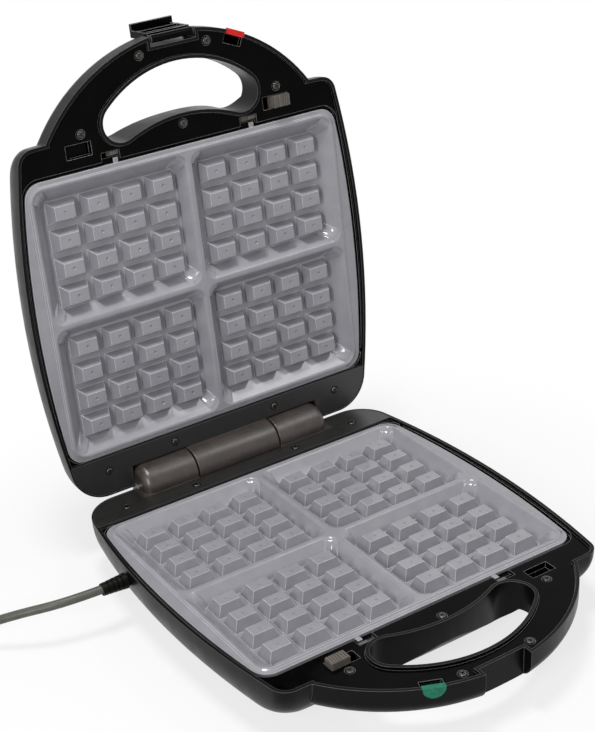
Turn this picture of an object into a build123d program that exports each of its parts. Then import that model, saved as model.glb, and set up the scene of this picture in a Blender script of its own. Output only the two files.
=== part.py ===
from build123d import *
from math import acos, cos, degrees, pi, radians, sin, sqrt, tan
import os

os.makedirs("parts", exist_ok=True)

# Countertop waffle maker: two mirrored halves on one hinge, shown open.
# Both halves are drawn in the same half frame: z = 0 is the parting plane, the body
# hangs below it, x runs to the right and y to the hinge. The lid is that half turned over.

# Waffle plate outline in plan, which the body is made to fit
plate_half_width = 147.0
plate_front = -115.5
plate_back = 112.5

# Body outline in plan: the plate and the body's margins round it
body_side_margin = 5.0
body_front_margin = 25.8
body_back_margin = 34.0
body_half_width = plate_half_width + body_side_margin
body_front = plate_front - body_front_margin
body_back = plate_back + body_back_margin
side_bulge_r = 690.0
front_bow = 2.5
front_corner_r = 13.0
back_corner_r = 30.0
body_depth = 42.0
foot_height = 8.0
side_roll = 34.0
front_roll = 60.0
back_roll = 32.0
roll_power = 2.5
wall = 2.6
rim_z = -0.8

# Placing
mating_height = body_depth + foot_height
hinge_y = body_back + 0.5
open_angle = 96.3

# Hand grip
bow_r = 140.5
bow_centre_y = -60.0
bow_half = 115.5
bow_root = -112.0
bow_depth = 24.0
bow_edge_r = 12.0
hole_outer_r = 93.5
hole_apex_y = -178.0
hole_end_r = 15.0
hole_end_x = 52.9
hole_inner_y = -138.5

# Waffle plate
plate_mid_y = 5.0
plate_corner_r = 14.0
plate_bulge_r = 800.0
plate_top = -0.3
plate_skirt = 6.0
metal = 2.0
well_x = 65.85
well_y = 53.6
well_half_x = 60.5
well_half_y = 46.5
well_r = 10.0
well_floor = -13.0
well_draft = 15.0
peg_pitch_x = 28.0
peg_pitch_y = 21.9
peg_top = -4.0
peg_top_half = (8.2, 5.3)
peg_foot_half = (12.0, 8.6)
lug_x = 61.0
lug_half = 3.5
lug_reach = 4.1

# Frame and hinge strip
frame_top = -3.2
frame_t = 2.2
fit_gap = 0.4
strip_front = plate_back + 0.9
strip_top = -1.0
strip_t = 2.6
strip_inset = 1.6
barrel_r = 17.2
trough_r = 18.0
knuckle_in = 39.8
knuckle_out = 88.0
pin_r = 3.05
pin_gap = 0.05
pin_half = knuckle_out - 4.0

# Release slider
slider_travel = 7.0
pad_x0 = -95.0
pad_x1 = -80.0
pad_y0 = -133.4
pad_y1 = -124.6
pad_top = 1.5
bar_y0 = -122.4
bar_y1 = -118.9

# Latch
latch_half = 18.0
latch_pivot_y = -196.8
latch_pivot_z = -3.6
recess_half = 19.4
recess_y = -191.8

# Screws, lamps, feet
frame_screws = [(86, -140.5), (-86, -140.5), (29, -187), (-29, -187), (0, -130)]
strip_screws = [(109, 126.5), (-109, 126.5), (48, 121.5), (-48, 121.5)]
feet = [(90, -60), (-90, -60), (90, 100), (-90, 100)]
lamp_x = -54.5
lamp_r = 8.0

# Cord
cord_r = 3.4
coil_r = 37.5
coil_pitch = 7.3
coil_corners = 26
coil_angle = 70.4
exit_y = 53.0
exit_z = -12.0
boot_neck_r = 5.0
boot_flange_r = 5.9
boot_length = 20.0


def prism(face, top, bottom):
    """Extrude a plan face between two heights."""
    return Pos(0, 0, bottom) * extrude(face, top - bottom)


def block(x0, x1, y0, y1, z0, z1):
    size = Box(x1 - x0, y1 - y0, z1 - z0)
    return Pos((x0 + x1) / 2, (y0 + y1) / 2, (z0 + z1) / 2) * size


def rod_x(radius, x0, x1, y, z):
    return Pos((x0 + x1) / 2, y, z) * Rot(0, 90, 0) * Cylinder(radius, x1 - x0)


def post(radius, x, y, z0, z1):
    return Pos(x, y, (z0 + z1) / 2) * Cylinder(radius, z1 - z0)


def bulged(half, front, back, mid, bulge_r, bow, r_front, r_back):
    """Plan face with bulged sides, slightly bowed front edge and rounded corners."""
    y_front = front + bow
    x_front = half - (bulge_r - sqrt(bulge_r**2 - (y_front - mid) ** 2))
    x_back = half - (bulge_r - sqrt(bulge_r**2 - (back - mid) ** 2))
    if bow:
        front_edge = ThreePointArc((x_front, y_front), (0, front), (-x_front, y_front))
    else:
        front_edge = Line((x_front, front), (-x_front, front))
    left = ThreePointArc((-x_front, y_front), (-half, mid), (-x_back, back))
    rear = Line((-x_back, back), (x_back, back))
    right = ThreePointArc((x_back, back), (half, mid), (x_front, y_front))
    face = make_face([front_edge, left, rear, right])
    rows = face.vertices().group_by(Axis.Y)
    face = fillet(rows[0], r_front)
    return fillet(face.vertices().group_by(Axis.Y)[-1], r_back)


def body_plan(roll=0.0, inset=0.0):
    """Body outline at one step of the rolled-under edge, inset by a wall."""
    return bulged(
        body_half_width - side_roll * roll - inset,
        body_front + front_roll * roll + inset,
        body_back - back_roll * roll - inset,
        0.0,
        side_bulge_r,
        front_bow,
        front_corner_r + front_roll * roll - inset,
        back_corner_r + 0.8 * back_roll * roll - inset,
    )


def plate_plan(grow=0.0):
    return bulged(
        plate_half_width + grow,
        plate_front - grow,
        plate_back + grow,
        plate_mid_y,
        plate_bulge_r,
        0.0,
        plate_corner_r + grow,
        plate_corner_r + grow,
    )


def body_block(inset=0.0):
    """Body with its edge rolled under in a superellipse; inset gives the cavity."""
    sections = []
    for roll in (0, 0.01, 0.05, 0.13, 0.27, 0.5, 0.8):
        depth = (1 - (1 - roll) ** roll_power) ** (1 / roll_power)
        depth = depth / (1 - 0.2**roll_power) ** (1 / roll_power)
        z = -depth * (body_depth - inset)
        if roll == 0:
            z = 1.0 if inset else rim_z
        sections.append(Pos(0, 0, z) * body_plan(roll, inset))
    return loft(sections)


def bow_plan(inset=0.0):
    """Plan of the hand grip: a circular bow on two straight cheeks."""
    r = bow_r - inset
    half = bow_half - inset
    y = bow_centre_y - sqrt(r**2 - half**2)
    arc = ThreePointArc((-half, y), (0, bow_centre_y - r), (half, y))
    sides = Polyline((half, y), (half, bow_root), (-half, bow_root), (-half, y))
    return make_face([arc, sides])


def hand_hole(grow=0.0):
    """Plan of the hand opening from tangent arcs: outer bow, two ends, inner bow."""
    outer_y = hole_apex_y + hole_outer_r
    end_y = outer_y - sqrt((hole_outer_r - hole_end_r) ** 2 - hole_end_x**2)
    reach = hole_end_r - hole_inner_y
    inner_y = (hole_end_x**2 + end_y**2 - reach**2) / (2 * (reach + end_y))
    ro = hole_outer_r + grow
    re = hole_end_r + grow
    ri = inner_y - hole_inner_y - grow
    u = Vector(hole_end_x, end_y - outer_y).normalized()
    v = Vector(hole_end_x, end_y - inner_y).normalized()
    out_x, out_y = u.X * ro, outer_y + u.Y * ro
    in_x, in_y = v.X * ri, inner_y + v.Y * ri
    mid = (u - v).normalized()
    side_x, side_y = hole_end_x + mid.X * re, end_y + mid.Y * re
    return make_face(
        [
            ThreePointArc((-out_x, out_y), (0, outer_y - ro), (out_x, out_y)),
            ThreePointArc((out_x, out_y), (side_x, side_y), (in_x, in_y)),
            ThreePointArc((in_x, in_y), (0, inner_y - ri), (-in_x, in_y)),
            ThreePointArc((-in_x, in_y), (-side_x, side_y), (-out_x, out_y)),
        ]
    )


def bow_block(inset=0.0):
    """Hand grip with a rounded lower edge, left out behind the hand opening."""
    top = 1.0 if inset else rim_z
    edge_r = bow_edge_r - inset
    solid = prism(bow_plan(inset), top, inset - bow_depth)
    low = solid.edges().group_by(Axis.Z)[0].filter_by(GeomType.CIRCLE)
    solid = fillet(low, edge_r)
    behind = block(-60 - inset, 60 + inset, -143, 0, -60, 20)
    return solid - behind


def lamp_cut(radius, near, far):
    """Disc lying in the bow's edge, its axis pointing at the bow's centre."""
    x = lamp_x
    y = -sqrt(1 - (x / bow_r) ** 2)
    direction = Vector(x / bow_r, y, 0)
    start = Vector(0, bow_centre_y, rim_z) + direction * near
    return extrude(Plane(start, z_dir=direction) * Circle(radius), far - near)


def to_base(shape):
    return Pos(0, 0, mating_height) * shape


def to_lid(shape):
    """Turn the half over and swing it open about the hinge."""
    swing = Pos(0, hinge_y, mating_height) * Rot(-open_angle, 0, 0)
    return swing * Pos(0, -hinge_y, 0) * Rot(0, 180, 0) * shape


def from_open(shape):
    """Bring a piece drawn about the open hinge axis back into the half frame."""
    return Rot(0, 180, 0) * Pos(0, hinge_y, 0) * Rot(open_angle, 0, 0) * shape


pieces = {}


def save(name, shape):
    pieces[name] = shape


def group(solids):
    return Compound(children=[s if isinstance(s, Solid) else s.solids()[0] for s in solids])


# Outer shells: one moulding for both halves, then the cuts that differ
outer = body_block() + bow_block()
trough_all = rod_x(trough_r, -knuckle_out - 0.9, knuckle_out + 0.9, hinge_y, 0)
trough_wall = rod_x(trough_r + wall, -knuckle_out - 3.5, knuckle_out + 3.5, hinge_y, 0)
recess_cut = block(-recess_half, recess_half, -210, recess_y, -40, 5)
recess_wall = block(-recess_half - 2.4, recess_half + 2.4, -210, recess_y + 2.4, -40, 5)
cavity = body_block(wall) + bow_block(wall)
cavity -= prism(hand_hole(wall), 5, -60)
cavity -= [recess_wall, trough_wall]
shell = outer - cavity
shell -= [prism(hand_hole(), 5, -60), recess_cut, trough_all]
shell -= lamp_cut(lamp_r + 0.3, 130, 150)

boss_top = frame_top - frame_t - 0.2
posts = [post(3.8, x, y, -60, boss_top) for x, y in frame_screws + strip_screws]
posts += [block(x - 1, x + 1, bar_y0, bar_y1, -60, -8.9) for x in (-88, -30, 30)]
shell += (Part() + posts) & outer
shell -= [post(1.45, x, y, -16, 0) for x, y in frame_screws + strip_screws]
behind_plate = Pos(0, strip_front + 50) * Rectangle(400, 100)
shell -= prism(body_plan(0, strip_inset - 0.2) & behind_plate, 5, strip_top - strip_t - 0.2)

stop_pad = block(-24, 24, 136, 146.6, -27, -trough_r - 0.2) - trough_all
cord_hole = rod_x(boot_neck_r + 0.1, -160, -130, exit_y, exit_z)
stems = [post(3.05, x, y, -body_depth - 18, -body_depth + 3.5) for x, y in feet]
base_shell = shell + stop_pad - cord_hole - stems
latch_bore = rod_x(1.35, -21.5, 21.5, latch_pivot_y, latch_pivot_z)
lid_shell = shell - latch_bore
save("base_shell", to_base(base_shell))
save("lid_shell", to_lid(lid_shell))

# Inner frames: panel on the grip, ledge for the plate, seat under the hinge strip
frame_plan = body_plan(0, wall + 0.3) + bow_plan(wall + 0.2)
frame = prism(frame_plan - hand_hole(wall + fit_gap), frame_top, frame_top - frame_t)
frame -= prism(plate_plan(0.5), 5, -20)
inside_shell = body_plan(0, wall + 0.6)
ring = (plate_plan(2.5) & inside_shell) - plate_plan(0.5)
frame += prism(ring, frame_top, -8.0)
ledge = (plate_plan(2.5) & inside_shell) - plate_plan(-3.0)
frame += prism(ledge, -plate_skirt - 0.2, -8.0)
frame -= block(-200, 200, strip_front - 0.4, 160, frame_top - 0.7, 5)
frame -= [trough_wall, recess_wall, lamp_cut(lamp_r + 0.3, 130, 150)]
slot = block(pad_x0 - 0.6, pad_x1 + slider_travel + 0.6, pad_y0 - 0.6, pad_y1 + 0.6, -6, 5)
frame -= slot
pocket = block(79, 100, -134.2, -123.8, -8.2, 5)
pocket_wall = block(77.5, 101.5, -135.7, -122.9, -9.7, frame_top)
frame = frame + pocket_wall - pocket
for x in (-lug_x, lug_x):
    near = x - lug_half - 0.6
    far = x + lug_half + slider_travel + 0.6
    frame -= block(near, far, -123.0, -113, -plate_skirt - 0.2, 5)
frame -= [post(1.7, x, y, -12, 0) for x, y in frame_screws + strip_screws]
frame -= [post(3.6, x, y, frame_top - 1.0, 0) for x, y in frame_screws]
boot_notch = block(-152, -141, exit_y - boot_flange_r - 0.5, exit_y + boot_flange_r + 0.5, -9, frame_top - frame_t - 0.1)
base_frame = frame - boot_notch
save("base_frame", to_base(base_frame))
save("lid_frame", to_lid(frame))


# Removable plates: drawn wells with hollow pegs, skirt, two front lugs
def frustum(x, y, half_top, half_foot, top, foot):
    upper = Pos(x, y, top) * Rectangle(2 * half_top[0], 2 * half_top[1])
    lower = Pos(x, y, foot) * Rectangle(2 * half_foot[0], 2 * half_foot[1])
    return loft([lower, upper])


def drawn_box(x, y, grow, top, bottom):
    face = RectangleRounded(
        2 * (well_half_x + grow), 2 * (well_half_y + grow), well_r + grow
    )
    return Pos(x, y, top) * extrude(face, bottom - top, taper=well_draft)


def waffle_plate():
    plate = prism(plate_plan(), plate_top, plate_top - 3.0)
    plate += prism(plate_plan() - plate_plan(-metal), plate_top, -plate_skirt)
    centres = [(sx * well_x, sy * well_y) for sx in (-1, 1) for sy in (-1, 1)]
    grid = [
        (x + (i - 1.5) * peg_pitch_x, y + (j - 1.5) * peg_pitch_y)
        for x, y in centres
        for i in range(4)
        for j in range(4)
    ]
    plate += [drawn_box(x, y, metal, plate_top, well_floor - metal) for x, y in centres]
    plate -= [drawn_box(x, y, 0, plate_top, well_floor) for x, y in centres]
    side_flat = plate_plan(-3.2) & Rectangle(400, 206)
    side_flat -= Rectangle(2 * (well_x + well_half_x + 4.5), 400)
    plate -= prism(side_flat, 5, plate_top - 1.2)
    plate += [
        frustum(x, y, peg_top_half, peg_foot_half, peg_top, well_floor - 0.2)
        for x, y in grid
    ]
    skin = 1.6
    hollow_top = (peg_top_half[0] - skin, peg_top_half[1] - skin)
    hollow_foot = (peg_foot_half[0] - skin, peg_foot_half[1] - skin)
    plate -= [
        frustum(x, y, hollow_top, hollow_foot, peg_top - 2, well_floor - metal - 0.2)
        for x, y in grid
    ]
    for x in (-lug_x, lug_x):
        plate += block(
            x - lug_half, x + lug_half, plate_front - lug_reach, plate_front + 1, -5.6, -3.4
        )
    return plate


plate = waffle_plate()
save("base_plate", to_base(plate))
save("lid_plate", to_lid(plate))


# Hinge strips with their knuckles
def knuckle(x0, x1, end_r):
    solid = rod_x(barrel_r, x0, x1, hinge_y, 0)
    ends = solid.edges().filter_by(GeomType.CIRCLE).sort_by(Axis.X)
    radii = end_r if x1 > 0 else end_r[::-1]
    solid = fillet(ends[0], radii[0])
    ends = solid.edges().filter_by(GeomType.CIRCLE).sort_by(Axis.X)
    return fillet(ends[-1], radii[1])


strip_plan = body_plan(0, strip_inset) & behind_plate
strip = prism(strip_plan, strip_top, strip_top - strip_t)
strip -= [post(1.7, x, y, -12, 0) for x, y in strip_screws]
strip -= [post(3.6, x, y, strip_top - 1.0, 0) for x, y in strip_screws]
bore = rod_x(pin_r + pin_gap, -pin_half - 0.3, pin_half + 0.3, hinge_y, 0)
middle_gap = rod_x(trough_r, -knuckle_in + 0.6, knuckle_in - 0.6, hinge_y, 0)
outer_gaps = trough_all - rod_x(trough_r + 1, -knuckle_in + 0.6, knuckle_in - 0.6, hinge_y, 0)

base_strip = strip - middle_gap
base_strip += knuckle(knuckle_in, knuckle_out, (1.0, 8.0))
base_strip += knuckle(-knuckle_out, -knuckle_in, (1.0, 8.0))
base_strip -= bore
save("base_hinge_strip", to_base(base_strip))

stop_tab = from_open(Pos(0, 2.4, -20) * Box(40, 5, 12))
lid_strip = strip - outer_gaps
lid_strip += knuckle(-knuckle_in + 1.2, knuckle_in - 1.2, (1.0, 1.0))
lid_strip += stop_tab
lid_strip -= bore
save("lid_hinge_strip", to_lid(lid_strip))
save("hinge_pin", to_base(rod_x(pin_r, -pin_half, pin_half, hinge_y, 0)))


# Screws with crossed recesses
def screw(x, y, seat):
    head = post(2.9, x, y, seat, seat + 1.7)
    head = fillet(head.edges().group_by(Axis.Z)[-1], 0.8)
    cross = [Box(3.4, 0.8, 2.0), Box(0.8, 3.4, 2.0)]
    turned = [Pos(x, y, seat + 1.7) * Rot(0, 0, 25) * bar for bar in cross]
    return head + post(1.4, x, y, seat - 9.5, seat) - turned


frame_set = group([screw(x, y, frame_top - 1.0) for x, y in frame_screws])
strip_set = group([screw(x, y, strip_top - 1.0) for x, y in strip_screws])
save("base_frame_screws", to_base(frame_set))
save("lid_frame_screws", to_lid(frame_set))
save("base_strip_screws", to_base(strip_set))
save("lid_strip_screws", to_lid(strip_set))


# Release slider: ribbed thumb pad, bar below the frame and two catch noses
def release_slider():
    slider = block(pad_x0, pad_x1, pad_y0, bar_y1, -8.6, -6.0)
    slider += block(pad_x0, lug_x + 5, bar_y0, bar_y1, -8.6, -6.0)
    slider += block(pad_x0, pad_x1, pad_y0, pad_y1, -6.2, pad_top - 0.6)
    for i in range(7):
        x = pad_x0 + 1.1 + i * 2.1
        slider += block(x - 0.55, x + 0.55, pad_y0, pad_y1, pad_top - 0.7, pad_top)
    for x in (-lug_x, lug_x):
        slider += block(x - lug_half, x + lug_half, bar_y0, bar_y0 + 2.4, -6.2, -3.6)
    return slider


slider = release_slider()
save("base_release_slider", to_base(slider))
save("lid_release_slider", to_lid(slider))

# Lamp lenses set in the edge of the grip
lens = lamp_cut(lamp_r, 136.9, 141.3) - block(-200, 200, -300, 0, rim_z, 20)
save("ready_lamp_lens", to_base(lens))
save("heat_lamp_lens", to_lid(lens))


# Latch on the lid, drawn folded back; half a turn hooks it under the base grip
def handle_latch():
    end_z = latch_pivot_z - 31
    latch = rod_x(2.9, -latch_half, latch_half, latch_pivot_y, latch_pivot_z)
    latch += block(-latch_half, latch_half, -199.2, -195.6, end_z, latch_pivot_z)
    latch += block(-latch_half, latch_half, -206.0, -197, end_z, end_z + 2.8)
    latch += block(-latch_half, latch_half, -201.2, -197, -24.5, -22.3)
    latch += block(-latch_half, latch_half, -201.0, -197, -9.0, -6.8)
    for x in (-latch_half + 1, latch_half - 1):
        latch += block(x - 1, x + 1, -201.0, -197, end_z, -6.8)
    return latch - rod_x(1.3, -30, 30, latch_pivot_y, latch_pivot_z)


save("handle_latch", to_lid(handle_latch()))
save("latch_pin", to_lid(rod_x(1.25, -21.3, 21.3, latch_pivot_y, latch_pivot_z)))


# Heating: tray and tubular element below each plate
def tray():
    dish = drawn_tray(0) - drawn_tray(0.8)
    for y in (10.0, 26.0):
        dish -= rod_x(4.2, -140, -100, y, -19.2)
    return dish


def drawn_tray(inset):
    face = RectangleRounded(2 * (118 - inset), 2 * (92 - inset), 22 - inset)
    top = -15.6 + (1 if inset else 0)
    bottom = -27.0 + inset
    return Pos(0, 0, top) * extrude(face, bottom - top)


def rounded(points, cuts):
    """Path along points with a tangent arc at each corner, cut from both its runs."""
    knots = [Vector(*p) for p in points]
    edges = []
    radii = []
    start = knots[0]
    for before, here, after, cut in zip(knots, knots[1:], knots[2:], cuts):
        a = (before - here).normalized()
        b = (after - here).normalized()
        half_turn = (pi - acos(a.dot(b))) / 2
        radius = cut / tan(half_turn)
        radii.append(round(radius, 1))
        first = here + a * cut
        last = here + b * cut
        middle = here + (a + b).normalized() * (radius / cos(half_turn) - radius)
        if (first - start).length > 0.01:
            edges.append(Line(start, first))
        edges.append(ThreePointArc(first, middle, last))
        start = last
    edges.append(Line(start, knots[-1]))
    return Wire(edges), radii


def route(points):
    """Free stretch: each arc takes 0.45 of its shorter run."""
    knots = [Vector(*p) for p in points]
    runs = [(b - a).length for a, b in zip(knots, knots[1:])]
    return rounded(points, [0.45 * min(pair) for pair in zip(runs, runs[1:])])


def tube(path, radius):
    section = Plane(path.position_at(0), z_dir=path.tangent_at(0)) * Circle(radius)
    return sweep(section, path=path)


heater_z = -18.7
heater_points = [(-112, 10), (-88, 10), (-88, -60), (88, -60), (88, 60), (-88, 60)]
heater_points += [(-88, 26), (-112, 26)]
heater_path, _ = route([(x, y, heater_z) for x, y in heater_points])
heater = tube(heater_path, 3.25)
for y in (10, 26):
    heater += rod_x(1.5, -124, -111, y, heater_z)
save("base_heater", to_base(heater))
save("lid_heater", to_lid(heater))
reflector = tray()
save("base_reflector", to_base(reflector))
save("lid_reflector", to_lid(reflector))

# Small electrical pieces under the base tray
save("thermostat", to_base(post(9, 0, 0, -35.5, -27.2) + block(-14, 14, -3, 3, -36.5, -35)))
fuse = rod_x(2.2, -60, -40, 30, -31) + rod_x(0.6, -68, -32, 30, -31)
save("thermal_fuse", to_base(fuse))
save("terminal_block", to_base(block(-120, -96, 38, 52, -38, -29)))

# Rubber feet with stems pressed up into the shell
foot_set = []
for x, y in feet:
    pad = post(9, x, y, -mating_height, -body_depth - 0.05)
    pad = fillet(pad.edges().group_by(Axis.Z)[0], 1.5)
    foot_set.append(pad + post(3.0, x, y, -body_depth - 1, -body_depth + 3.2))
save("feet", to_base(group(foot_set)))

# Cord: boot, free stretch, coil, tail and plug, drawn in world coordinates
exit_h = mating_height + exit_z
boot_root = -150.8
boot = rod_x(boot_flange_r, -144.8, -142.6, exit_y, exit_h)
boot += rod_x(boot_neck_r, boot_root - 1, -144, exit_y, exit_h)
taper = Cone(6.2, 4.8, boot_length)
boot += Pos(boot_root - boot_length / 2, exit_y, exit_h) * Rot(0, -90, 0) * taper
for i in range(4):
    x = boot_root - 4.5 - 3.8 * i
    groove = rod_x(9, x - 0.7, x + 0.7, exit_y, exit_h)
    boot -= groove - rod_x(4.4, x - 2, x + 2, exit_y, exit_h)
boot -= rod_x(cord_r + 0.05, -180, -140, exit_y, exit_h)
save("cord_boot", boot)


def compare(label, solid, path, radii):
    """Print a tube's bend radii and its volume against section times length."""
    ratio = solid.volume / (pi * cord_r**2 * path.length)
    print(label, "bend radii", radii, "length", round(path.length), "volume ratio", round(ratio, 4))


steps = 8
step = radians(360 / steps)
corner_r = coil_r / cos(step / 2)
rise = coil_pitch / steps
half_side = sqrt((corner_r * sin(step / 2)) ** 2 + (rise / 2) ** 2)
end_run = 2 * cord_r
coil_start = Vector(-318, 134, cord_r + 1.4)
first_turn = radians(coil_angle)
outward = Vector(cos(first_turn), sin(first_turn), 0)
centre = coil_start - outward * coil_r


def coil_corner(k):
    """Corner k of the eight-sided winding whose arcs touch at the middle of each side."""
    turn = first_turn + (k + 0.5) * step
    return centre + Vector(corner_r * cos(turn), corner_r * sin(turn), (k + 0.5) * rise)


corners = [coil_corner(k) for k in range(coil_corners)]
heading = (corners[0] - coil_start).normalized()
coil_end = (corners[-1] + coil_corner(coil_corners)) / 2
away = (coil_end - corners[-1]).normalized()
coil_in = coil_start - heading * end_run
coil_out = coil_end + away * end_run
coil_points = [tuple(p) for p in (coil_in, *corners, coil_out)]
coil_path, coil_radii = rounded(coil_points, [half_side] * coil_corners)
coil = tube(coil_path, cord_r)
compare("coil", coil, coil_path, coil_radii[:1])
save("cord_coil", coil)

samples = 40 * coil_corners
along = [coil_path.position_at(i / samples) for i in range(samples + 1)]
apart = samples * steps // (2 * coil_corners)
gap = min((p - q).length for i, p in enumerate(along) for q in along[i + apart :])
print("coil gap between turns", round(gap - 2 * cord_r, 2))

floor_point = coil_in - heading * 30
cord_points = [
    (-142.6, exit_y, exit_h),
    (-192.5, exit_y, exit_h),
    (-236.5, exit_y + 24, exit_h - 9),
    (-262, exit_y + 45, exit_h - 23),
    tuple(floor_point),
    tuple(coil_in),
]
cord_path, cord_radii = route(cord_points)
cord = tube(cord_path, cord_r)
compare("cord", cord, cord_path, cord_radii)
save("power_cord", cord)

plug_z = 19.05
tail_1 = coil_out + away * 26
tail_2 = tail_1 + Vector(away.X * 28, away.Y * 28, 0)
tail_2 = Vector(tail_2.X + 4, tail_2.Y, plug_z)
tail_points = [tuple(p) for p in (coil_out, tail_1, tail_2, tail_2 + Vector(2, -24, 0))]
tail_path, tail_radii = route(tail_points)
tail = tube(tail_path, cord_r)
compare("tail", tail, tail_path, tail_radii)
save("cord_tail", tail)

plug_plane = Plane(tail_path.position_at(1), x_dir=(0, 0, 1), z_dir=tail_path.tangent_at(1))
profile = Polyline((0, 0), (5.2, 0), (7.5, 16), (17.5, 26), (19, 30), (19, 56), (0, 56), (0, 0))
plug = revolve(Plane.XZ * make_face(profile), Axis.Z)
plug -= [Pos(sx * 23, 0, 45) * Box(12, 12, 30) for sx in (-1, 1)]
pin_places = [(0, -9.5), (0, 9.5)]
plug -= [Pos(x, y, 55) * Cylinder(2.45, 16) for x, y in pin_places]
save("plug_body", plug_plane.location * plug)
plug_pins = [Pos(x, y, 61.5) * Cylinder(2.4, 28) for x, y in pin_places]
save("plug_pins", plug_plane.location * group(plug_pins))

# Tie around the coil, wires under the base tray
tie_angle = radians(250)
turns_there = (250 - coil_angle) / 360
low = coil_start.Z + coil_pitch * turns_there - cord_r - 0.6
high = low + 2 * coil_pitch + 2 * cord_r + 1.2
tie_in = Box(2 * cord_r + 1.2, 6, high - low)
tie = Box(2 * cord_r + 3.2, 5, high - low + 2) - tie_in
middle = centre + Vector(cos(tie_angle), sin(tie_angle), 0) * coil_r
tie = Pos(middle.X, middle.Y, (low + high) / 2) * Rot(0, 0, 250) * tie
save("cord_tie", tie)


def wire(points):
    path, _ = route(points)
    return tube(path, 1.1)


wires = [
    wire([(-139, 51.5, 37), (-131, 51.5, 34), (-126, 49, 22), (-121, 48, 17)]),
    wire([(-139, 54.8, 37), (-129, 55.5, 33), (-124, 54, 22), (-119, 60, 17), (-108, 60, 15)]),
]
save("base_wiring", group(wires))

# Origin: under the middle of the appliance's box, cord left out, on the surface it stands on
cord_set = ("cord_boot", "power_cord", "cord_coil", "cord_tail", "plug_body", "plug_pins", "cord_tie")
boxes = [shape.bounding_box() for name, shape in pieces.items() if name not in cord_set]
box_x = (min(b.min.X for b in boxes), max(b.max.X for b in boxes))
box_y = (min(b.min.Y for b in boxes), max(b.max.Y for b in boxes))
shift = (-sum(box_x) / 2, -sum(box_y) / 2, 0)
for name, shape in pieces.items():
    export_step(Pos(*shift) * shape, f"parts/{name}.step")
print("origin shift", [round(v, 3) for v in shift])
latch_at = (Pos(*shift) * to_lid(Pos(0, latch_pivot_y, latch_pivot_z) * Sphere(1))).center()
print("hinge axis at", round(hinge_y + shift[1], 3), mating_height)
print("latch axis at", round(latch_at.Y, 3), round(latch_at.Z, 3))
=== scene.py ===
# %% [markdown]
# A double waffle maker, standing open with its lid tipped a little past upright.
# The construction (shells, frames, hinge, latch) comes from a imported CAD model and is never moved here.
# This lesson gives those pieces their finishes and soft edges, remakes the two removable plates with the
# rounded lips of a pressing, lays the mains cord, and lights the product.
# Everything is in metres, in the same frame as the CAD: +Z up, +Y from the handles towards the hinge.

# %% Load the fixed frame
from math import cos, pi, radians, sin, tan

import bmesh
import bpy
from mathutils import Matrix, Vector


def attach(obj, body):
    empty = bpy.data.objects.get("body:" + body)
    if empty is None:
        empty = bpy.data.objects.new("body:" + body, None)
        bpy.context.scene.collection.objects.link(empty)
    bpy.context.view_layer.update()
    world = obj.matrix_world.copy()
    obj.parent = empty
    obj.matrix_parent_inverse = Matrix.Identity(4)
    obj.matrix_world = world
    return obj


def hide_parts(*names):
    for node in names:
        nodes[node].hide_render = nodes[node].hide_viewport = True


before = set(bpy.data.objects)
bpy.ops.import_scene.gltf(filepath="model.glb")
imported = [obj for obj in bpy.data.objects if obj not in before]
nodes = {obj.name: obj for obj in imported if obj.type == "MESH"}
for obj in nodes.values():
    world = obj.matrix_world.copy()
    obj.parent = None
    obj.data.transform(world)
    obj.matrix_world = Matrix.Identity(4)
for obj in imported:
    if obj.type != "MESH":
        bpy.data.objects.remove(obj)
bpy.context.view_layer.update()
scene = bpy.context.scene
mm = 0.001

# %% [markdown]
# The camera comes first, because the cord has to leave its picture.
# A product photographer stands back with a longer lens, so that the far edge of a plate stays nearly
# parallel to its near edge. The place and the turn were solved from the straight edges of the two plates.
# The small lens shift is the trim of the picture: the lens axis doesn't pass through the frame's middle.

# %% Camera
camera_at = Vector((-0.5379, -0.8065, 0.6796))
camera_right = Vector((0.8474, -0.5267, -0.0661))
camera_up = Vector((0.2955, 0.3644, 0.8831))
camera = bpy.data.objects.new("camera", bpy.data.cameras.new("camera"))
turn = Matrix((camera_right, camera_up, camera_right.cross(camera_up))).transposed()
camera.matrix_world = Matrix.Translation(camera_at) @ turn.to_4x4()
camera.data.lens = 74.34
camera.data.shift_x = 0.0932
camera.data.shift_y = 0.0296
scene.collection.objects.link(camera)
scene.camera = camera
print("camera with a lens of", round(camera.data.lens, 2), "mm")

# %% [markdown]
# Every material below is a few shader nodes on top of Blender's Principled shader, so one small function
# adds a node, sets its values and links it. Colours are written as sRGB hex, the way a paint chart gives
# them, and turned to the linear values that light uses.

# %% Nodes and colours
def linear(colour):
    """sRGB hex such as 8e8e96 to linear RGBA."""
    parts = [int(colour[i : i + 2], 16) / 255 for i in (0, 2, 4)]
    return [p / 12.92 if p < 0.04045 else ((p + 0.055) / 1.055) ** 2.4 for p in parts] + [1]


def add(tree, kind, inputs=None, **settings):
    """Add a shader node; a value in inputs is a number, a colour or another node's socket."""
    made = tree.nodes.new("ShaderNode" + kind)
    for name, value in settings.items():
        setattr(made, name, value)
    for name, value in (inputs or {}).items():
        if isinstance(value, bpy.types.NodeSocket):
            tree.links.new(value, made.inputs[name])
        else:
            made.inputs[name].default_value = value
    return made


def new_material(name, **inputs):
    """A Principled material with its values set on the shader's own sockets."""
    made = bpy.data.materials.new(name)
    made.use_nodes = True
    shader = made.node_tree.nodes["Principled BSDF"]
    for socket, value in inputs.items():
        shader.inputs[socket.replace("_", " ")].default_value = value
    return made, made.node_tree, shader


print("middle grey 808080 is linear", round(linear("808080")[0], 3))

# %% [markdown]
# Nothing real is perfectly even. A noise on Object coordinates, which stay still on the piece, gives three
# things: a grain in the bump, patches of more and less gloss, and a colour that drifts between two tones.
# Sizes are real ones in millimetres. A noise seldom leaves the middle of its range, so only that middle
# is stretched over the two limits.

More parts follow.
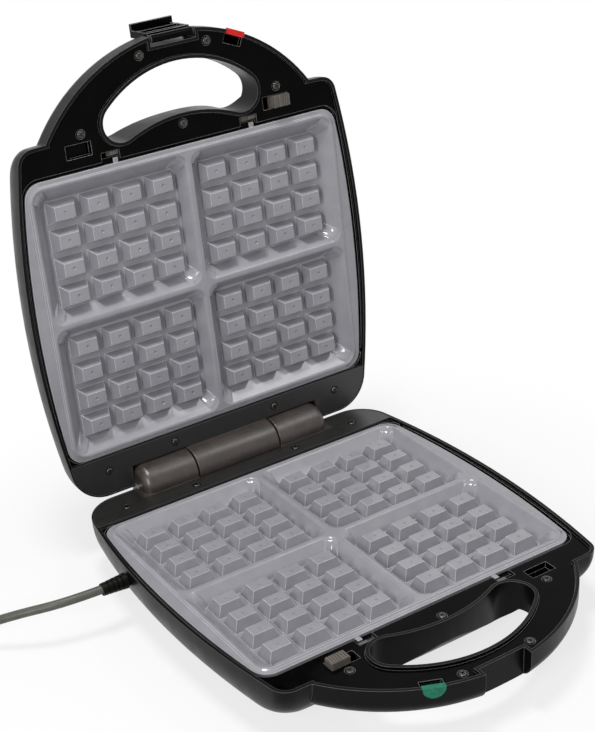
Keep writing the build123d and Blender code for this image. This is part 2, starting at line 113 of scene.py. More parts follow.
# %% Grain, gloss and colour
gloss_span = (0.3, 0.7)
tint_span = (0.35, 0.65)


def grains(size):
    """Noise scale whose grains are about this many millimetres across, on Object coordinates."""
    return 1000 / size


def drift(tree, size, detail, span, low=0.0, high=1.0):
    """A value that drifts between two limits in soft patches of this size in millimetres."""
    place = add(tree, "TexCoord").outputs["Object"]
    noise = add(tree, "TexNoise", {"Vector": place, "Scale": grains(size), "Detail": detail})
    limits = {"From Min": span[0], "From Max": span[1], "To Min": low, "To Max": high}
    return add(tree, "MapRange", {"Value": noise.outputs["Fac"], **limits}).outputs["Result"]


def vary_gloss(tree, shader, size, low, high):
    """Let the roughness drift between two limits."""
    tree.links.new(drift(tree, size, 4.0, gloss_span, low, high), shader.inputs["Roughness"])


def tint(tree, shader, size, first, second):
    """Let the colour drift between two hex values."""
    factor = drift(tree, size, 3.0, tint_span)
    tones = {"Factor": factor, "A": linear(first), "B": linear(second)}
    mix = add(tree, "Mix", tones, data_type="RGBA")
    tree.links.new(mix.outputs["Result"], shader.inputs["Base Color"])


def grain(tree, shader, size, height, detail, edge=0.0):
    """Bump from a noise; size, height and the radius that edges get are in millimetres."""
    place = add(tree, "TexCoord").outputs["Object"]
    noise = add(tree, "TexNoise", {"Vector": place, "Scale": grains(size), "Detail": detail})
    bump = add(tree, "Bump", {"Height": noise.outputs["Fac"], "Distance": height * mm, "Strength": 1.0})
    if edge:
        eased = add(tree, "Bevel", {"Radius": edge * mm}, samples=6)
        tree.links.new(eased.outputs["Normal"], bump.inputs["Normal"])
    tree.links.new(bump.outputs["Normal"], shader.inputs["Normal"])
    return bump


print("noise scale for grains of 1 mm", grains(1))

# %% [markdown]
# Edges are eased in the shader: its Bevel node bends the normal near an edge, which catches a thin line of
# light and leaves the mesh as it is. The same node finds the edges for a painted highlight: where the eased
# normal no longer agrees with the face's own, a paler colour is laid over, so a thin line of light is
# painted into the colour along every edge, hollow ones too. A larger relief, such as ribs, goes under the
# grain and over the eased edge, so that one bump hands its normal to the next.

# %% Painted edge highlights and larger relief
highlight_width = 0.55
still_flat = 0.995
full_edge = 0.9


def lay_over(tree, shader, factor, colour):
    """Mix a colour over what the shader's Base Color has now."""
    under = shader.inputs["Base Color"].links[0].from_socket
    mix = add(tree, "Mix", {"Factor": factor, "A": under, "B": linear(colour)}, data_type="RGBA")
    tree.links.new(mix.outputs["Result"], shader.inputs["Base Color"])


def paint_edge_highlights(tree, shader, colour, amount):
    """Paint a highlight along the edges by laying a lighter colour over them."""
    eased = add(tree, "Bevel", {"Radius": highlight_width * mm}, samples=8).outputs["Normal"]
    own = add(tree, "NewGeometry").outputs["Normal"]
    agree = add(tree, "VectorMath", {0: eased, 1: own}, operation="DOT_PRODUCT").outputs["Value"]
    limits = {"From Min": still_flat, "From Max": full_edge, "To Max": amount}
    edge = add(tree, "MapRange", {"Value": agree, **limits}).outputs["Result"]
    lay_over(tree, shader, edge, colour)


def relief(tree, bump, height, distance, **settings):
    """Slip a larger bump under the grain's; the distance is in millimetres."""
    eased = bump.inputs["Normal"].links[0].from_socket
    inputs = {"Height": height, "Distance": distance * mm, "Strength": 1.0, "Normal": eased}
    larger = add(tree, "Bump", inputs, **settings)
    tree.links.new(larger.outputs["Normal"], bump.inputs["Normal"])


# The width of the painted edge highlights, in millimetres.
print("width of a worn edge in millimetres", highlight_width)

# %% [markdown]
# The handle panels are moulded in a polished tool from black ABS: a smooth, deep black whose reflections
# wander a little, because the skin sinks over the ribs below as it cools. Two slow noises do it: one bends
# the normal by hundredths of a millimetre, one smears the gloss. The studio is white all round, which
# would turn such a panel grey, so the strength of its reflections is set far below that of real ABS.

# %% Polished black ABS
polished_abs, tree, shader = new_material("polished_black_abs", Specular_IOR_Level=0.035)
grain(tree, shader, size=14, height=0.05, detail=1.0, edge=0.5)
vary_gloss(tree, shader, size=9, low=0.08, high=0.2)
tint(tree, shader, size=20, first="030303", second="060606")
# Painted highlight: a pale grey laid along the panel's edges as lines of light.
paint_edge_highlights(tree, shader, "a3a3a0", amount=0.7)
print(polished_abs.name, "nodes", len(tree.nodes))

# %% [markdown]
# The thumb pads of the releases are the one lighter plastic: a warm grey, dull from its fine ribs.
# The ribs run across the way the pad slides. They are finer than a tessellated model would hold well,
# so a sine along X raises them in the bump.

# %% Warm grey ABS
rib_pitch = 1.5
rib_height = 0.28
pad_abs, tree, shader = new_material("warm_grey_abs", Specular_IOR_Level=0.4)
pad_grain = grain(tree, shader, size=1.5, height=0.02, detail=2.0, edge=0.15)
place = add(tree, "TexCoord").outputs["Object"]
along = add(tree, "SeparateXYZ", {"Vector": place}).outputs["X"]
phase = add(tree, "Math", {0: along, 1: 2 * pi / (rib_pitch * mm)}, operation="MULTIPLY").outputs[0]
wave = add(tree, "Math", {0: phase}, operation="SINE").outputs[0]
relief(tree, pad_grain, wave, rib_height)
vary_gloss(tree, shader, size=4, low=0.3, high=0.42)
tint(tree, shader, size=5, first="5d5750", second="6b655d")
print("rib pitch in millimetres", rib_pitch)

# %% [markdown]
# The outer shells carry a fine spark-eroded grain, so light spreads into a broad soft sheen.

# %% Spark-eroded black polypropylene
grained_shell, tree, shader = new_material("spark_eroded_black_plastic", Specular_IOR_Level=0.1)
grain(tree, shader, size=0.5, height=0.012, detail=3.0, edge=0.8)
vary_gloss(tree, shader, size=12, low=0.26, high=0.36)
tint(tree, shader, size=30, first="080809", second="0c0c0d")
# Painted highlight: a mid grey laid along the shell's edges as lines of light.
paint_edge_highlights(tree, shader, "7d7d7b", amount=0.6)
print(grained_shell.name, "nodes", len(tree.nodes))

# %% [markdown]
# The knuckles are given a lighter brown-grey, a painted sheen that stands for the light along the round
# barrel;
# the flat strips keep a blacker tone. One material does both: a point counts as a knuckle's while it lies
# within the knuckle's radius of the hinge's axis and within the row of knuckles along it. The larger of the
# two distances decides, the second one scaled so that both end at the same value.

# %% Glass-filled nylon
hinge_at = Vector((0, 0.136513, 0.05))
knuckle_radius = 17.2
knuckles_half = 88.0
strip_from = 17.4
strip_full = 18.2
hinge_nylon, tree, shader = new_material("glass_filled_nylon", Specular_IOR_Level=0.6)
grain(tree, shader, size=0.7, height=0.03, detail=4.0, edge=0.6)
vary_gloss(tree, shader, size=10, low=0.3, high=0.4)
# These brown-grey tones are a painted sheen for the round knuckles.
tint(tree, shader, size=8, first="2a2421", second="372f2c")
place = add(tree, "TexCoord").outputs["Object"]
offset = add(tree, "VectorMath", {0: place, 1: hinge_at}, operation="SUBTRACT").outputs[0]
offset = add(tree, "VectorMath", {0: offset, 1: (0, 1, 1)}, operation="MULTIPLY").outputs[0]
reach = add(tree, "VectorMath", {0: offset}, operation="LENGTH").outputs["Value"]
along = add(tree, "SeparateXYZ", {"Vector": place}).outputs["X"]
along = add(tree, "Math", {0: along}, operation="ABSOLUTE").outputs[0]
along = add(tree, "Math", {0: along, 1: knuckle_radius / knuckles_half}, operation="MULTIPLY").outputs[0]
reach = add(tree, "Math", {0: reach, 1: along}, operation="MAXIMUM").outputs[0]
limits = {"From Min": strip_from * mm, "From Max": strip_full * mm}
strip = add(tree, "MapRange", {"Value": reach, **limits}).outputs[0]
# The flat strips get the blacker tone; only the knuckles keep the painted sheen.
lay_over(tree, shader, strip, "151413")
print(hinge_nylon.name, "nodes", len(tree.nodes))

# %% [markdown]
# Each peg of a plate has a small dimple in the middle of its top. Both plates' pegs stand on one grid, so
# a height field folds the plate's own coordinates into one cell of it and sinks a round spot at the cell's
# middle. The lid's plate stands almost upright, so a Mapping node lays its coordinates flat first.

# %% Dimples on the pegs
first_peg = (23.85, 20.75)
peg_pitch = (28.0, 21.9)
pegs_across = 4
past_last_peg = 0.4
dimple_radius = 1.3
dimple_depth = 0.7
flat_share = 0.3


def dimples(tree, turn, offset):
    """Height field of one dimple per peg, on the plate's flat coordinates."""
    place = add(tree, "TexCoord").outputs["Object"]
    flat = add(tree, "Mapping", {"Vector": place, "Rotation": (turn, 0, 0), "Location": offset})
    axes = add(tree, "SeparateXYZ", {"Vector": flat.outputs[0]}).outputs
    half_row = (pegs_across - 1) / 2
    parts = []
    inside = 1.0
    for axis, first, pitch in zip(axes, first_peg, peg_pitch):
        side = add(tree, "Math", {0: axis}, operation="ABSOLUTE").outputs[0]
        along = add(tree, "Math", {0: side, 1: first * mm}, operation="SUBTRACT").outputs[0]
        near = add(tree, "Math", {0: along, 1: pitch / 2 * mm}, operation="PINGPONG").outputs[0]
        parts.append(add(tree, "Math", {0: near, 1: dimple_radius * mm}, operation="DIVIDE").outputs[0])
        field = {0: side, 1: (first + half_row * pitch) * mm, 2: (half_row + past_last_peg) * pitch * mm}
        here = add(tree, "Math", field, operation="COMPARE").outputs[0]
        inside = add(tree, "Math", {0: inside, 1: here}, operation="MULTIPLY").outputs[0]
    cell = add(tree, "CombineXYZ", {"X": parts[0], "Y": parts[1]})
    reach = add(tree, "VectorMath", {0: cell.outputs[0]}, operation="LENGTH").outputs["Value"]
    limits = {"From Min": flat_share, "From Max": 1.0, "To Min": 1.0, "To Max": 0.0}
    spot = add(tree, "MapRange", {"Value": reach, **limits}, interpolation_type="SMOOTHSTEP").outputs[0]
    return add(tree, "Math", {0: spot, 1: inside}, operation="MULTIPLY").outputs[0]


print("dimples in a well", pegs_across**2)

# %% [markdown]
# The plates are pressed aluminium, sprayed with a grey ceramic non-stick coat.
# The coat is a paint, not bare metal, so it is no metal to the shader. It has a very fine orange peel
# and rounds every edge of the pressing, and the sharp little glints in the corners come from it.
# A paler colour is painted along the edges of the pegs and lips as a fine highlight line.
# Each plate has its own copy of the coat, because each has its own way back to flat coordinates. In those
# the hinge's axis lies 147 mm behind the middle, at height 0.

# %% Ceramic coat
opened = radians(96.3)
hinge_flat = Vector((0, 0.147, 0))
base_offset = hinge_flat - hinge_at
lid_offset = hinge_flat - Matrix.Rotation(opened, 3, "X") @ hinge_at


def ceramic(name, turn, offset):
    """The coat of one plate, whose coordinates a turn about X and an offset lay flat."""
    coat, tree, shader = new_material(name, IOR=1.5, Specular_IOR_Level=0.45)
    peel = grain(tree, shader, size=0.9, height=0.006, detail=3.0, edge=0.75)
    relief(tree, peel, dimples(tree, turn, offset), dimple_depth, invert=True)
    vary_gloss(tree, shader, size=16, low=0.1, high=0.16)
    tint(tree, shader, size=12, first="8b8a90", second="919095")
    # Painted highlight: a near-white laid along the edges of the pegs and lips as lines of light.
    paint_edge_highlights(tree, shader, "e4e3e6", amount=0.75)
    return coat


ceramic_base = ceramic("grey_ceramic_coat_base", 0.0, base_offset)
ceramic_lid = ceramic("grey_ceramic_coat_lid", opened, lid_offset)
print("coats", ceramic_base.name, ceramic_lid.name)

# %% [markdown]
# Bare metals take their colour from what they mirror, so they are metallic and only their gloss drifts.
# Screws are zinc-plated, trays are sheet dipped in aluminium, and the heater's tube has been blued and
# browned by its own heat. The plug's pins are nickel-plated brass, the glossiest of the four.

# %% Metals
zinc_plate, tree, shader = new_material("zinc_plated_steel", Metallic=1.0)
vary_gloss(tree, shader, size=2, low=0.22, high=0.4)
tint(tree, shader, size=2, first="42423f", second="5a5956")
aluminised, tree, shader = new_material("aluminised_sheet", Metallic=1.0)
grain(tree, shader, size=3, height=0.02, detail=3.0)
vary_gloss(tree, shader, size=20, low=0.28, high=0.45)
tint(tree, shader, size=25, first="a8a6a0", second="bdbbb6")
heater_steel, tree, shader = new_material("heat_tinted_steel", Metallic=1.0)
vary_gloss(tree, shader, size=8, low=0.35, high=0.5)
tint(tree, shader, size=14, first="5d5348", second="7c7060")
pin_brass, tree, shader = new_material("nickel_plated_brass", Metallic=1.0)
vary_gloss(tree, shader, size=3, low=0.12, high=0.25)
tint(tree, shader, size=4, first="c3bda9", second="cfcabb")
print("metals", zinc_plate.name, aluminised.name, heater_steel.name, pin_brass.name)

# %% [markdown]
# The lamps are clear-tinted polycarbonate lenses over a lamp that is off, so they stay deep in colour.

# %% Lamp lenses
lens_values = {"IOR": 1.58, "Roughness": 0.08, "Specular_IOR_Level": 0.2}
lens_green, tree, shader = new_material("green_polycarbonate", **lens_values)
tint(tree, shader, size=3, first="035c45", second="057355")
lens_red, tree, shader = new_material("red_polycarbonate", **lens_values)
tint(tree, shader, size=3, first="b3120c", second="d21a12")
print("lenses", lens_green.name, lens_red.name)

# %% [markdown]
# The soft pieces are duller than the mouldings. The cord's sheath is soft PVC, a dusty grey-black, while
# its boot and the plug are moulded from a harder, blacker grade. The feet and the cord's tie are silicone
# rubber, which scatters almost all the light it sends back.

# %% Rubber and PVC
foot_rubber, tree, shader = new_material("silicone_rubber", IOR=1.42)
grain(tree, shader, size=0.6, height=0.03, detail=3.0)
vary_gloss(tree, shader, size=5, low=0.55, high=0.7)
tint(tree, shader, size=6, first="1a1a1a", second="222222")
cord_pvc, tree, shader = new_material("soft_pvc_sheath", IOR=1.5, Specular_IOR_Level=0.35)
grain(tree, shader, size=1.2, height=0.008, detail=2.0)
vary_gloss(tree, shader, size=12, low=0.38, high=0.5)
tint(tree, shader, size=10, first="4a4a44", second="53534c")
boot_pvc, tree, shader = new_material("moulded_black_pvc", IOR=1.5, Specular_IOR_Level=0.08)
grain(tree, shader, size=0.8, height=0.02, detail=3.0)
vary_gloss(tree, shader, size=6, low=0.35, high=0.48)
tint(tree, shader, size=8, first="090908", second="0d0d0c")
print("soft pieces", foot_rubber.name, cord_pvc.name, boot_pvc.name)

# %% [markdown]
# Inside, what has to stand the heat is pale: the thermostat and the terminal block are steatite, a dense
# cream ceramic, and the wires run in sleeves woven from glass fibre.

# %% Steatite and glass fibre
steatite, tree, shader = new_material("steatite_ceramic", IOR=1.55)
vary_gloss(tree, shader, size=4, low=0.4, high=0.6)
tint(tree, shader, size=6, first="d8d5cb", second="e2dfd6")
wire_sleeve, tree, shader = new_material("glass_fibre_sleeve", IOR=1.5)
vary_gloss(tree, shader, size=2, low=0.5, high=0.7)
tint(tree, shader, size=3, first="cfcab8", second="dedaca")
print("inside", steatite.name, wire_sleeve.name)

# %% [markdown]
# Each CAD node takes one finish, in the place of the plain material that it came with.

# %% Who wears what
finishes = {
    grained_shell: ["base_shell", "lid_shell"],
    polished_abs: ["base_frame", "lid_frame", "handle_latch"],
    pad_abs: ["base_release_slider", "lid_release_slider"],
    hinge_nylon: ["base_hinge_strip", "lid_hinge_strip"],
    ceramic_base: ["base_plate"],
    ceramic_lid: ["lid_plate"],
    zinc_plate: ["base_frame_screws", "lid_frame_screws", "base_strip_screws", "lid_strip_screws"],
    aluminised: ["base_reflector", "lid_reflector", "thermal_fuse"],
    heater_steel: ["base_heater", "lid_heater", "hinge_pin", "latch_pin"],
    lens_green: ["ready_lamp_lens"],
    lens_red: ["heat_lamp_lens"],
    foot_rubber: ["feet", "cord_tie"],
    boot_pvc: ["cord_boot", "plug_body"],
    pin_brass: ["plug_pins"],
    steatite: ["thermostat", "terminal_block"],
    wire_sleeve: ["base_wiring"],
}
for material, names in finishes.items():
    for name in names:
        nodes[name].data.materials.clear()
        nodes[name].data.materials.append(material)
print("nodes with a finish", sum(len(names) for names in finishes.values()))

# %% [markdown]
# A CAD export is loose triangles. Modifiers weld them and shade curved faces smoothly,
# and split the mesh only where two faces meet at more than an angle, so that flat faces stay flat.

# %% Smooth curves, clean flats
merge_gap = 0.002 * mm


def shade(piece, split_angle=34):
    """Weld a piece and shade it smoothly between the edges that are sharper than an angle."""
    for face in piece.data.polygons:
        face.use_smooth = True
    weld = piece.modifiers.new("weld", "WELD")
    weld.merge_threshold = merge_gap
    split = piece.modifiers.new("split_at_edges", "EDGE_SPLIT")
    split.split_angle = radians(split_angle)
    even = piece.modifiers.new("even_shading", "WEIGHTED_NORMAL")
    even.keep_sharp = True


for node in nodes.values():
    shade(node)
print("shaded", len(nodes))

# %% [markdown]
# The removable plates are pressed from sheet. A press can't fold metal sharply: each well opens over a
# rounded lip, the wells nearly meet in a narrow crest, and the bulging edge of the plate lies a step lower.
# The CAD plate has the pegs and floors right but straight walls and a flat top, so a merged copy of it
# is reworked in the flat coordinates of the coat, where the sheet lies level and the hinge is behind it.
# A plate has one well in each quarter. A well's mouth is a rounded rectangle, which is kept as its middle
# and its core, the smaller rectangle that lies one corner radius inside it. Every point of the outline is
# then the corner radius away from the nearest point of the core, round the corners too.

# %% Sizes of the pressed plates, in millimetres
crest_z = -2.2
ledge_z = -3.5
sheet = 2.0
ledge_sheet = 1.6
mouth_corner = 9.0
lip_radius = 2.6
lip_turn = 54
lip_steps = (40, 27, 13, 0)
lip_reach = lip_radius * tan(radians(lip_turn / 2))
plate_half = (145.4, 113.2)
block_half = (135.0, 108.9)
block_corner = 12.0
step_out = 1.0


def mouth(size, gap, corner):
    """Middle and core of the mouth in one quarter; the gap is what parts it from its neighbours."""
    middle = [(s + g) / 2 for s, g in zip(size, gap)]
    core = [s / 2 - corner for s in size]
    return middle, core


real_mouth = mouth(size=(130.5, 104.5), gap=(4.4, 4.4), corner=mouth_corner)
print("middle and core of a mouth", real_mouth)

# %% [markdown]
# The rework has to know the CAD plate's parts by where they lie: the two faces of its flat top and of the
# floors, the drafted walls between them, the field of pegs that is left alone, the box round all four
# wells, and the two lugs on the front of its turned-down edge.

# %% What the CAD plate has, in millimetres
cad_top, cad_top_under = -0.3, -3.3
cad_floor, cad_floor_under = -13.0, -15.0
cad_corner = 10.0
cad_mouth = mouth(size=(121.0, 93.0), gap=(10.7, 14.2), corner=cad_corner)
cad_half = (147.0, 115.5)
wall_slope = tan(radians(15))
peg_field_half = (54.05, 41.5)
wells_half = (128.0, 102.0)
below_old_top = -1.6
below_top_sheet = -3.35
inside_top_sheet = -2.0
outline_scale = [real / cad for real, cad in zip(plate_half, cad_half)]


def around(point, mouth_of):
    """Nearest point of the mouth's core, and the direction and distance from there to this point."""
    middle, core = mouth_of
    local = Vector((abs(point.x) / mm - middle[0], abs(point.y) / mm - middle[1]))
    near = Vector([max(-c, min(c, v)) for v, c in zip(local, core)])
    return near, (local - near).normalized(), (local - near).length


def by_wells(point):
    """Whether a point is in the box round the four wells."""
    return all(abs(v) / mm < half for v, half in zip(point, wells_half))


def on_wall(point):
    """Whether a point is on a well's wall, outside its field of pegs."""
    beyond = [abs(abs(v) / mm - m) for v, m in zip(point, cad_mouth[0])]
    return any(b > half for b, half in zip(beyond, peg_field_half))


print("middle and core of a CAD mouth", cad_mouth)

# %% [markdown]
# First the old top is cut away, which opens the plate along its wells and along its outer edge. The walls
# then lean out to the wider mouths: a point on the rim goes all the way, one at the floor stays, and what
# is between goes its share. The outer edge comes in to the real outline and down to the ledge.

# %% Wider wells and a lower edge
wall_middle = cad_corner + sheet / 2
under_grow = 0.85 * sheet


def sign(value):
    """1 on the positive side of the plate's middle, -1 on the other."""
    return 1 if value > 0 else -1


def lip(angle):
    """Outset and height of a point on the lip's arc; 0 degrees is its end on the crest."""
    bend = radians(angle)
    return lip_reach - lip_radius * sin(bend), crest_z - lip_radius * (1 - cos(bend))


def put(vert, near, out, grow, height):
    """Set a vertex on the real mouth's outline, grown by some millimetres, at a height."""
    reach = [m + n + o * (mouth_corner + grow) for m, n, o in zip(real_mouth[0], near, out)]
    vert.co = Vector((sign(vert.co.x) * reach[0], sign(vert.co.y) * reach[1], height)) * mm


def open_top(form):
    """Cut the flat top away; gives the open rims of the wells and the plate's open outline."""
    old_top = [f for f in form.faces if min(v.co.z for v in f.verts) > below_old_top * mm]
    bmesh.ops.delete(form, geom=old_top, context="FACES")
    rims = [e for e in form.edges if e.is_boundary]
    mouths = [e for e in rims if all(by_wells(v.co) for v in e.verts)]
    known = set(mouths)
    return mouths, [e for e in rims if e not in known]


def widen(vert):
    """Lean a vertex of a well's wall out towards the real mouth, by its share of the climb."""
    place = vert.co / mm
    near, out, reach = around(vert.co, cad_mouth)
    if reach > wall_middle + (place.z - cad_top) * wall_slope:
        foot, rim, grow, height = cad_floor_under, cad_top_under, under_grow, crest_z - sheet
    else:
        foot, rim, grow, height = cad_floor, cad_top, *lip(lip_turn)
    near = [n * (real / cad) for n, real, cad in zip(near, real_mouth[1], cad_mouth[1])]
    put(vert, near, out, grow, height)
    vert.co = place.lerp(vert.co / mm, (place.z - foot) / (rim - foot)) * mm


def settle(vert):
    """Bring a vertex of the outer edge in to the real outline, and the top's down to the ledge."""
    height = vert.co.z / mm
    vert.co.x *= outline_scale[0]
    if vert.co.y < 0:
        vert.co.y *= outline_scale[1]
    if height > below_top_sheet:
        vert.co.z = (ledge_z if height > inside_top_sheet else ledge_z - ledge_sheet) * mm


print("lower end of the lip, outset and height", [round(v, 2) for v in lip(lip_turn)])

# %% [markdown]
# The lugs on the front edge catch under the release. The real ones are about half as wide as the CAD's
# and start a little lower, so the vertices that bound them draw together.

# %% Narrower lugs
lug_x = 61 * outline_scale[0]
lug_half = 4.5
lug_top = -4.3
lug_share = 0.55
lug_heights = (-5.7, -3.3)
skirt_front = -112.7


def narrow_lug(vert):
    """Draw a vertex of a lug towards the lug's middle, and its upper edge down."""
    x, y, z = vert.co / mm
    aside = abs(x) - lug_x
    if y < skirt_front and lug_heights[0] < z < lug_heights[1] and abs(aside) < lug_half:
        vert.co = Vector((sign(x) * (lug_x + aside * lug_share), y, min(z, lug_top))) * mm


print("lug half width now", round(lug_half * lug_share, 2))

# %% [markdown]
# The lips are extruded ring by ring up an arc. Round all four mouths runs the crest's outer edge: a
# rounded rectangle from a one-face grid whose corners are bevelled, extruded once to the ledge.
# Two triangle fills, which know holes, then close the crest and the lower ledge.

# %% Lips, crest and ledge
def extruded(form, edges):
    """Extrude a ring of edges on the spot; gives the new ring and its vertices."""
    made = bmesh.ops.extrude_edge_only(form, edges=edges)["geom"]
    ring = [e for e in made if isinstance(e, bmesh.types.BMEdge) and e.is_boundary]
    return ring, {v for e in ring for v in e.verts}


def roll_lips(form, ring):
    """Carry the rims of the wells up the arc of the lip, to the height of the crest."""
    for angle in lip_steps:
        ring, verts = extruded(form, ring)
        for vert in verts:
            near, out = around(vert.co, real_mouth)[:2]
            put(vert, near, out, *lip(angle))
    return ring


def crest_edge(form):
    """The crest's rounded outer edge, and the edge below it where it meets the ledge."""
    block = bmesh.ops.create_grid(form, x_segments=1, y_segments=1, size=1)["verts"]
    bmesh.ops.scale(form, vec=(block_half[0] * mm, block_half[1] * mm, 1), verts=block)
    bmesh.ops.translate(form, vec=(0, 0, crest_z * mm), verts=block)
    rounded = bmesh.ops.bevel(
        form, geom=block, offset=block_corner * mm, affect="VERTICES", segments=7, profile=0.5, material=-1
    )
    panel = rounded["verts"][0].link_faces[0]
    crest = list(panel.edges)
    bmesh.ops.delete(form, geom=[panel], context="FACES_ONLY")
    step, verts = extruded(form, crest)
    for vert in verts:
        vert.co.x += sign(vert.co.x) * step_out * mm
        vert.co.y += sign(vert.co.y) * step_out * mm
        vert.co.z = ledge_z * mm
    return crest, step


print("rings in a lip", len(lip_steps))

# %% [markdown]
# One function goes through these steps for a plate, and puts the result back where the CAD plate is.
# The base's plate only has to be shifted to lie flat. The lid's is swung shut about the hinge first and
# then turned over, because both plates are the same pressing.

# %% Pressed plates
def pressed_plate(name, node, flat, coat, body):
    """Make a plate from a merged copy of its CAD node, attach it to the node's body and hide the node."""
    data = nodes[node].data.copy()
    data.name = name
    form = bmesh.new()
    form.from_mesh(data)
    bmesh.ops.remove_doubles(form, verts=form.verts, dist=merge_gap)
    bmesh.ops.transform(form, matrix=flat, verts=form.verts)
    mouths, outline = open_top(form)
    for vert in form.verts:
        if not by_wells(vert.co):
            settle(vert)
            narrow_lug(vert)
        elif vert.co.z > below_top_sheet * mm or on_wall(vert.co):
            widen(vert)
    ring = roll_lips(form, mouths)
    crest, step = crest_edge(form)
    up = Vector((0, 0, 1))
    bmesh.ops.triangle_fill(form, edges=crest + ring, use_beauty=True, normal=up)
    bmesh.ops.triangle_fill(form, edges=step + outline, use_beauty=True, normal=up)
    bmesh.ops.recalc_face_normals(form, faces=form.faces)
    open_edges = sum(1 for e in form.edges if not e.is_manifold)
    bmesh.ops.transform(form, matrix=flat.inverted(), verts=form.verts)
    form.to_mesh(data)
    form.free()
    piece = bpy.data.objects.new(name, data)
    scene.collection.objects.link(piece)
    data.materials.clear()
    data.materials.append(coat)
    shade(piece, split_angle=48)
    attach(piece, body)
    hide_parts(node)
    print(name, "faces", len(data.polygons), "open edges", open_edges)


base_flat = Matrix.Translation(base_offset)
lid_flat = (
    Matrix.Rotation(pi, 4, "Y")
    @ Matrix.Translation(hinge_flat)
    @ Matrix.Rotation(opened, 4, "X")
    @ Matrix.Translation(-hinge_at)
)
pressed_plate("base_pressed_plate", "base_plate", base_flat, ceramic_base, "base_waffle_plate")
pressed_plate("lid_pressed_plate", "lid_plate", lid_flat, ceramic_lid, "lid_waffle_plate")

# %% [markdown]
# The mains cord is one flexible length: out of the boot, down to the table, then a tied coil for what
# the picture doesn't show. A NURBS curve of order 3 runs smoothly inside its control points.
# The coil's points come from a loop, twelve to a turn, on a circle slightly larger than the winding.

# %% The coil of the mains cord
coil_radius = 37.5 * mm
coil_pitch = 7.3 * mm
coil_turns = 3.25
coil_start = Vector((-0.318, 0.123513, 0.0048))
coil_angle = radians(70.4)
per_turn = 12
coil_step = 2 * pi / per_turn
coil_middle = coil_start - Vector((cos(coil_angle), sin(coil_angle), 0)) * coil_radius


def coil_point(k):
    """Control point of the coil, counted in twelfths of a turn from its start."""
    angle = coil_angle + k * coil_step
    reach = coil_radius / cos(coil_step / 2)
    rise = coil_pitch * k / per_turn
    return coil_middle + Vector((reach * cos(angle), reach * sin(angle), rise))


turns = [coil_point(k + 0.5) for k in range(int(coil_turns * per_turn))]
print("control points in the coil", len(turns))

# %% [markdown]
# The cord runs straight into the coil and straight out of it, along the first and the last turn, and ends
# at the plug. The points before the coil are listed one by one, as the cord would fall.

# %% The way of the mains cord
cord_radius = 3.4 * mm
exit_point = Vector((-0.1426, 0.042513, 0.038))
straight_in = 36.8 * mm
straight_out = 32.8 * mm
tail_run = 28 * mm
tail_height = 19.05 * mm
heading = (turns[0] - coil_start).normalized()
coil_end = (turns[-1] + coil_point(len(turns) + 0.5)) / 2
away = (coil_end - turns[-1]).normalized()
tail_start = coil_end + away * straight_out
tail_bend = tail_start + Vector((away.x, away.y, 0)) * tail_run + Vector((0.004, 0, 0))
tail_bend.z = tail_height
cord_points = [
    exit_point,
    Vector((-0.1925, 0.042513, 0.038)),
    Vector((-0.2365, 0.066513, 0.029)),
    Vector((-0.262, 0.087513, 0.015)),
    coil_start - heading * straight_in,
    *turns,
    tail_start,
    tail_bend,
    tail_bend + Vector((0.002, -0.024, 0)),
]
print("control points in the cord", len(cord_points))

# %% [markdown]
# A curve with a bevel depth is a round tube of an even thickness, and its ends are closed by caps.

# %% Mains cord
def nurbs(name, points, radius):
    """A round tube whose centre line is one open NURBS spline."""
    data = bpy.data.curves.new(name, "CURVE")
    data.dimensions = "3D"
    data.resolution_u = 8
    data.bevel_depth = radius
    data.bevel_resolution = 5
    data.use_fill_caps = True
    spline = data.splines.new("NURBS")
    spline.points.add(len(points) - 1)
    for control, point in zip(spline.points, points):
        control.co = (*point, 1)
    spline.order_u = 3
    spline.use_endpoint_u = True
    made = bpy.data.objects.new(name, data)
    scene.collection.objects.link(made)
    return made


mains_cord = nurbs("mains_cord", cord_points, cord_radius)
mains_cord.data.materials.append(cord_pvc)
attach(mains_cord, "base")
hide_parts("power_cord", "cord_coil", "cord_tail")
print("cord diameter in millimetres", round(2 * cord_radius / mm, 1))

# %% [markdown]
# The product stands on white paper in a white room. Rays that are seen, directly, in a mirror or through
# a clear piece, meet plain white, so the background is even. Rays that only carry light meet a paper and
# a room that are dimmer, so that the lamps do the modelling. Near the product even a seen ray meets some
# of the real paper, so that its shadow shows. The Standard view transform keeps every tone as it is given.

# %% Floor
paper_size = 6
shadow_from = 0.2
shadow_to = 0.4
white_near = 0.75


def seen_rays(tree):
    """1 for rays that are seen, 0 for rays that only carry light."""
    rays = add(tree, "LightPath").outputs
    seen = add(tree, "Math", {0: rays["Is Camera Ray"], 1: rays["Is Glossy Ray"]}, operation="ADD")
    both = {0: seen.outputs[0], 1: rays["Is Transmission Ray"]}
    return add(tree, "Math", both, operation="ADD", use_clamp=True).outputs[0]


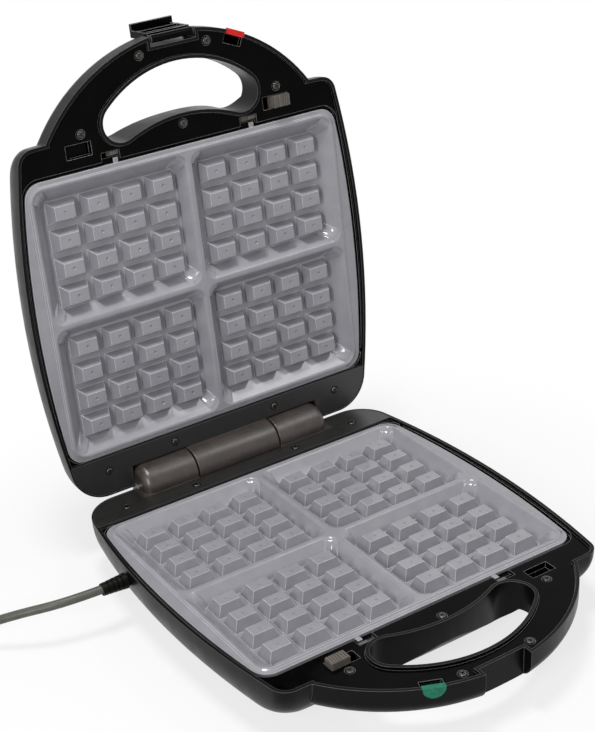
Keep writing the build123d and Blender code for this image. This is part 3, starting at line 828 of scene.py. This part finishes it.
floor_mesh = bpy.data.meshes.new("floor")
form = bmesh.new()
bmesh.ops.create_grid(form, x_segments=1, y_segments=1, size=paper_size)
form.to_mesh(floor_mesh)
form.free()
floor = bpy.data.objects.new("floor", floor_mesh)
scene.collection.objects.link(floor)
paper, tree, shader = new_material("white_paper", Roughness=0.9)
shader.inputs["Base Color"].default_value = linear("e6e6e6")
place = add(tree, "TexCoord").outputs["Object"]
reach = add(tree, "VectorMath", {0: place}, operation="LENGTH").outputs["Value"]
limits = {"From Min": shadow_from, "From Max": shadow_to, "To Min": white_near}
far = add(tree, "MapRange", {"Value": reach, **limits}, interpolation_type="SMOOTHSTEP").outputs[0]
amount = add(tree, "Math", {0: seen_rays(tree), 1: far}, operation="MULTIPLY").outputs[0]
bright = add(tree, "Emission", {"Color": linear("ffffff"), "Strength": 1.0})
blend = add(tree, "MixShader", {0: amount, 1: shader.outputs[0], 2: bright.outputs[0]})
tree.links.new(blend.outputs[0], tree.nodes["Material Output"].inputs["Surface"])
floor.data.materials.append(paper)
print("floor half size in metres", paper_size)

# %% World
room_glow = 0.27
world = bpy.data.worlds.new("studio")
world.use_nodes = True
scene.world = world
sky = world.node_tree
glow = add(sky, "Background", {"Color": linear("ffffff"), "Strength": room_glow})
backdrop = add(sky, "Background", {"Color": linear("ffffff"), "Strength": 1.0})
mixed = add(sky, "MixShader", {0: seen_rays(sky), 1: glow.outputs[0], 2: backdrop.outputs[0]})
sky.links.new(mixed.outputs[0], sky.nodes["World Output"].inputs["Surface"])
scene.view_settings.view_transform = "Standard"
print("world glow", room_glow)

# %% [markdown]
# Black gloss plastic shows little but reflections. Three fairly small lamps, each far off, give thin crisp
# lines along the rolled edges and on the pegs: one above, a tall strip to the left of the camera, and a
# weak one to the right.

# %% Lamps
product_middle = Vector((0.0, 0.0, 0.1))


def lamp(name, at, size, power):
    """A rectangular lamp, turned towards the middle of the product."""
    data = bpy.data.lights.new(name, "AREA")
    data.shape = "RECTANGLE"
    data.size, data.size_y = size
    data.energy = power
    made = bpy.data.objects.new(name, data)
    made.location = at
    made.rotation_euler = (product_middle - Vector(at)).to_track_quat("-Z", "Y").to_euler()
    scene.collection.objects.link(made)
    print(name, "of", power, "watts")


lamp("top_box", at=(-0.2, 0.0, 1.6), size=(0.35, 0.35), power=15)
lamp("key_strip", at=(-1.15, -0.8, 0.8), size=(0.1, 0.6), power=11)
lamp("edge_strip", at=(0.75, -0.4, 1.35), size=(0.5, 0.4), power=3.2)
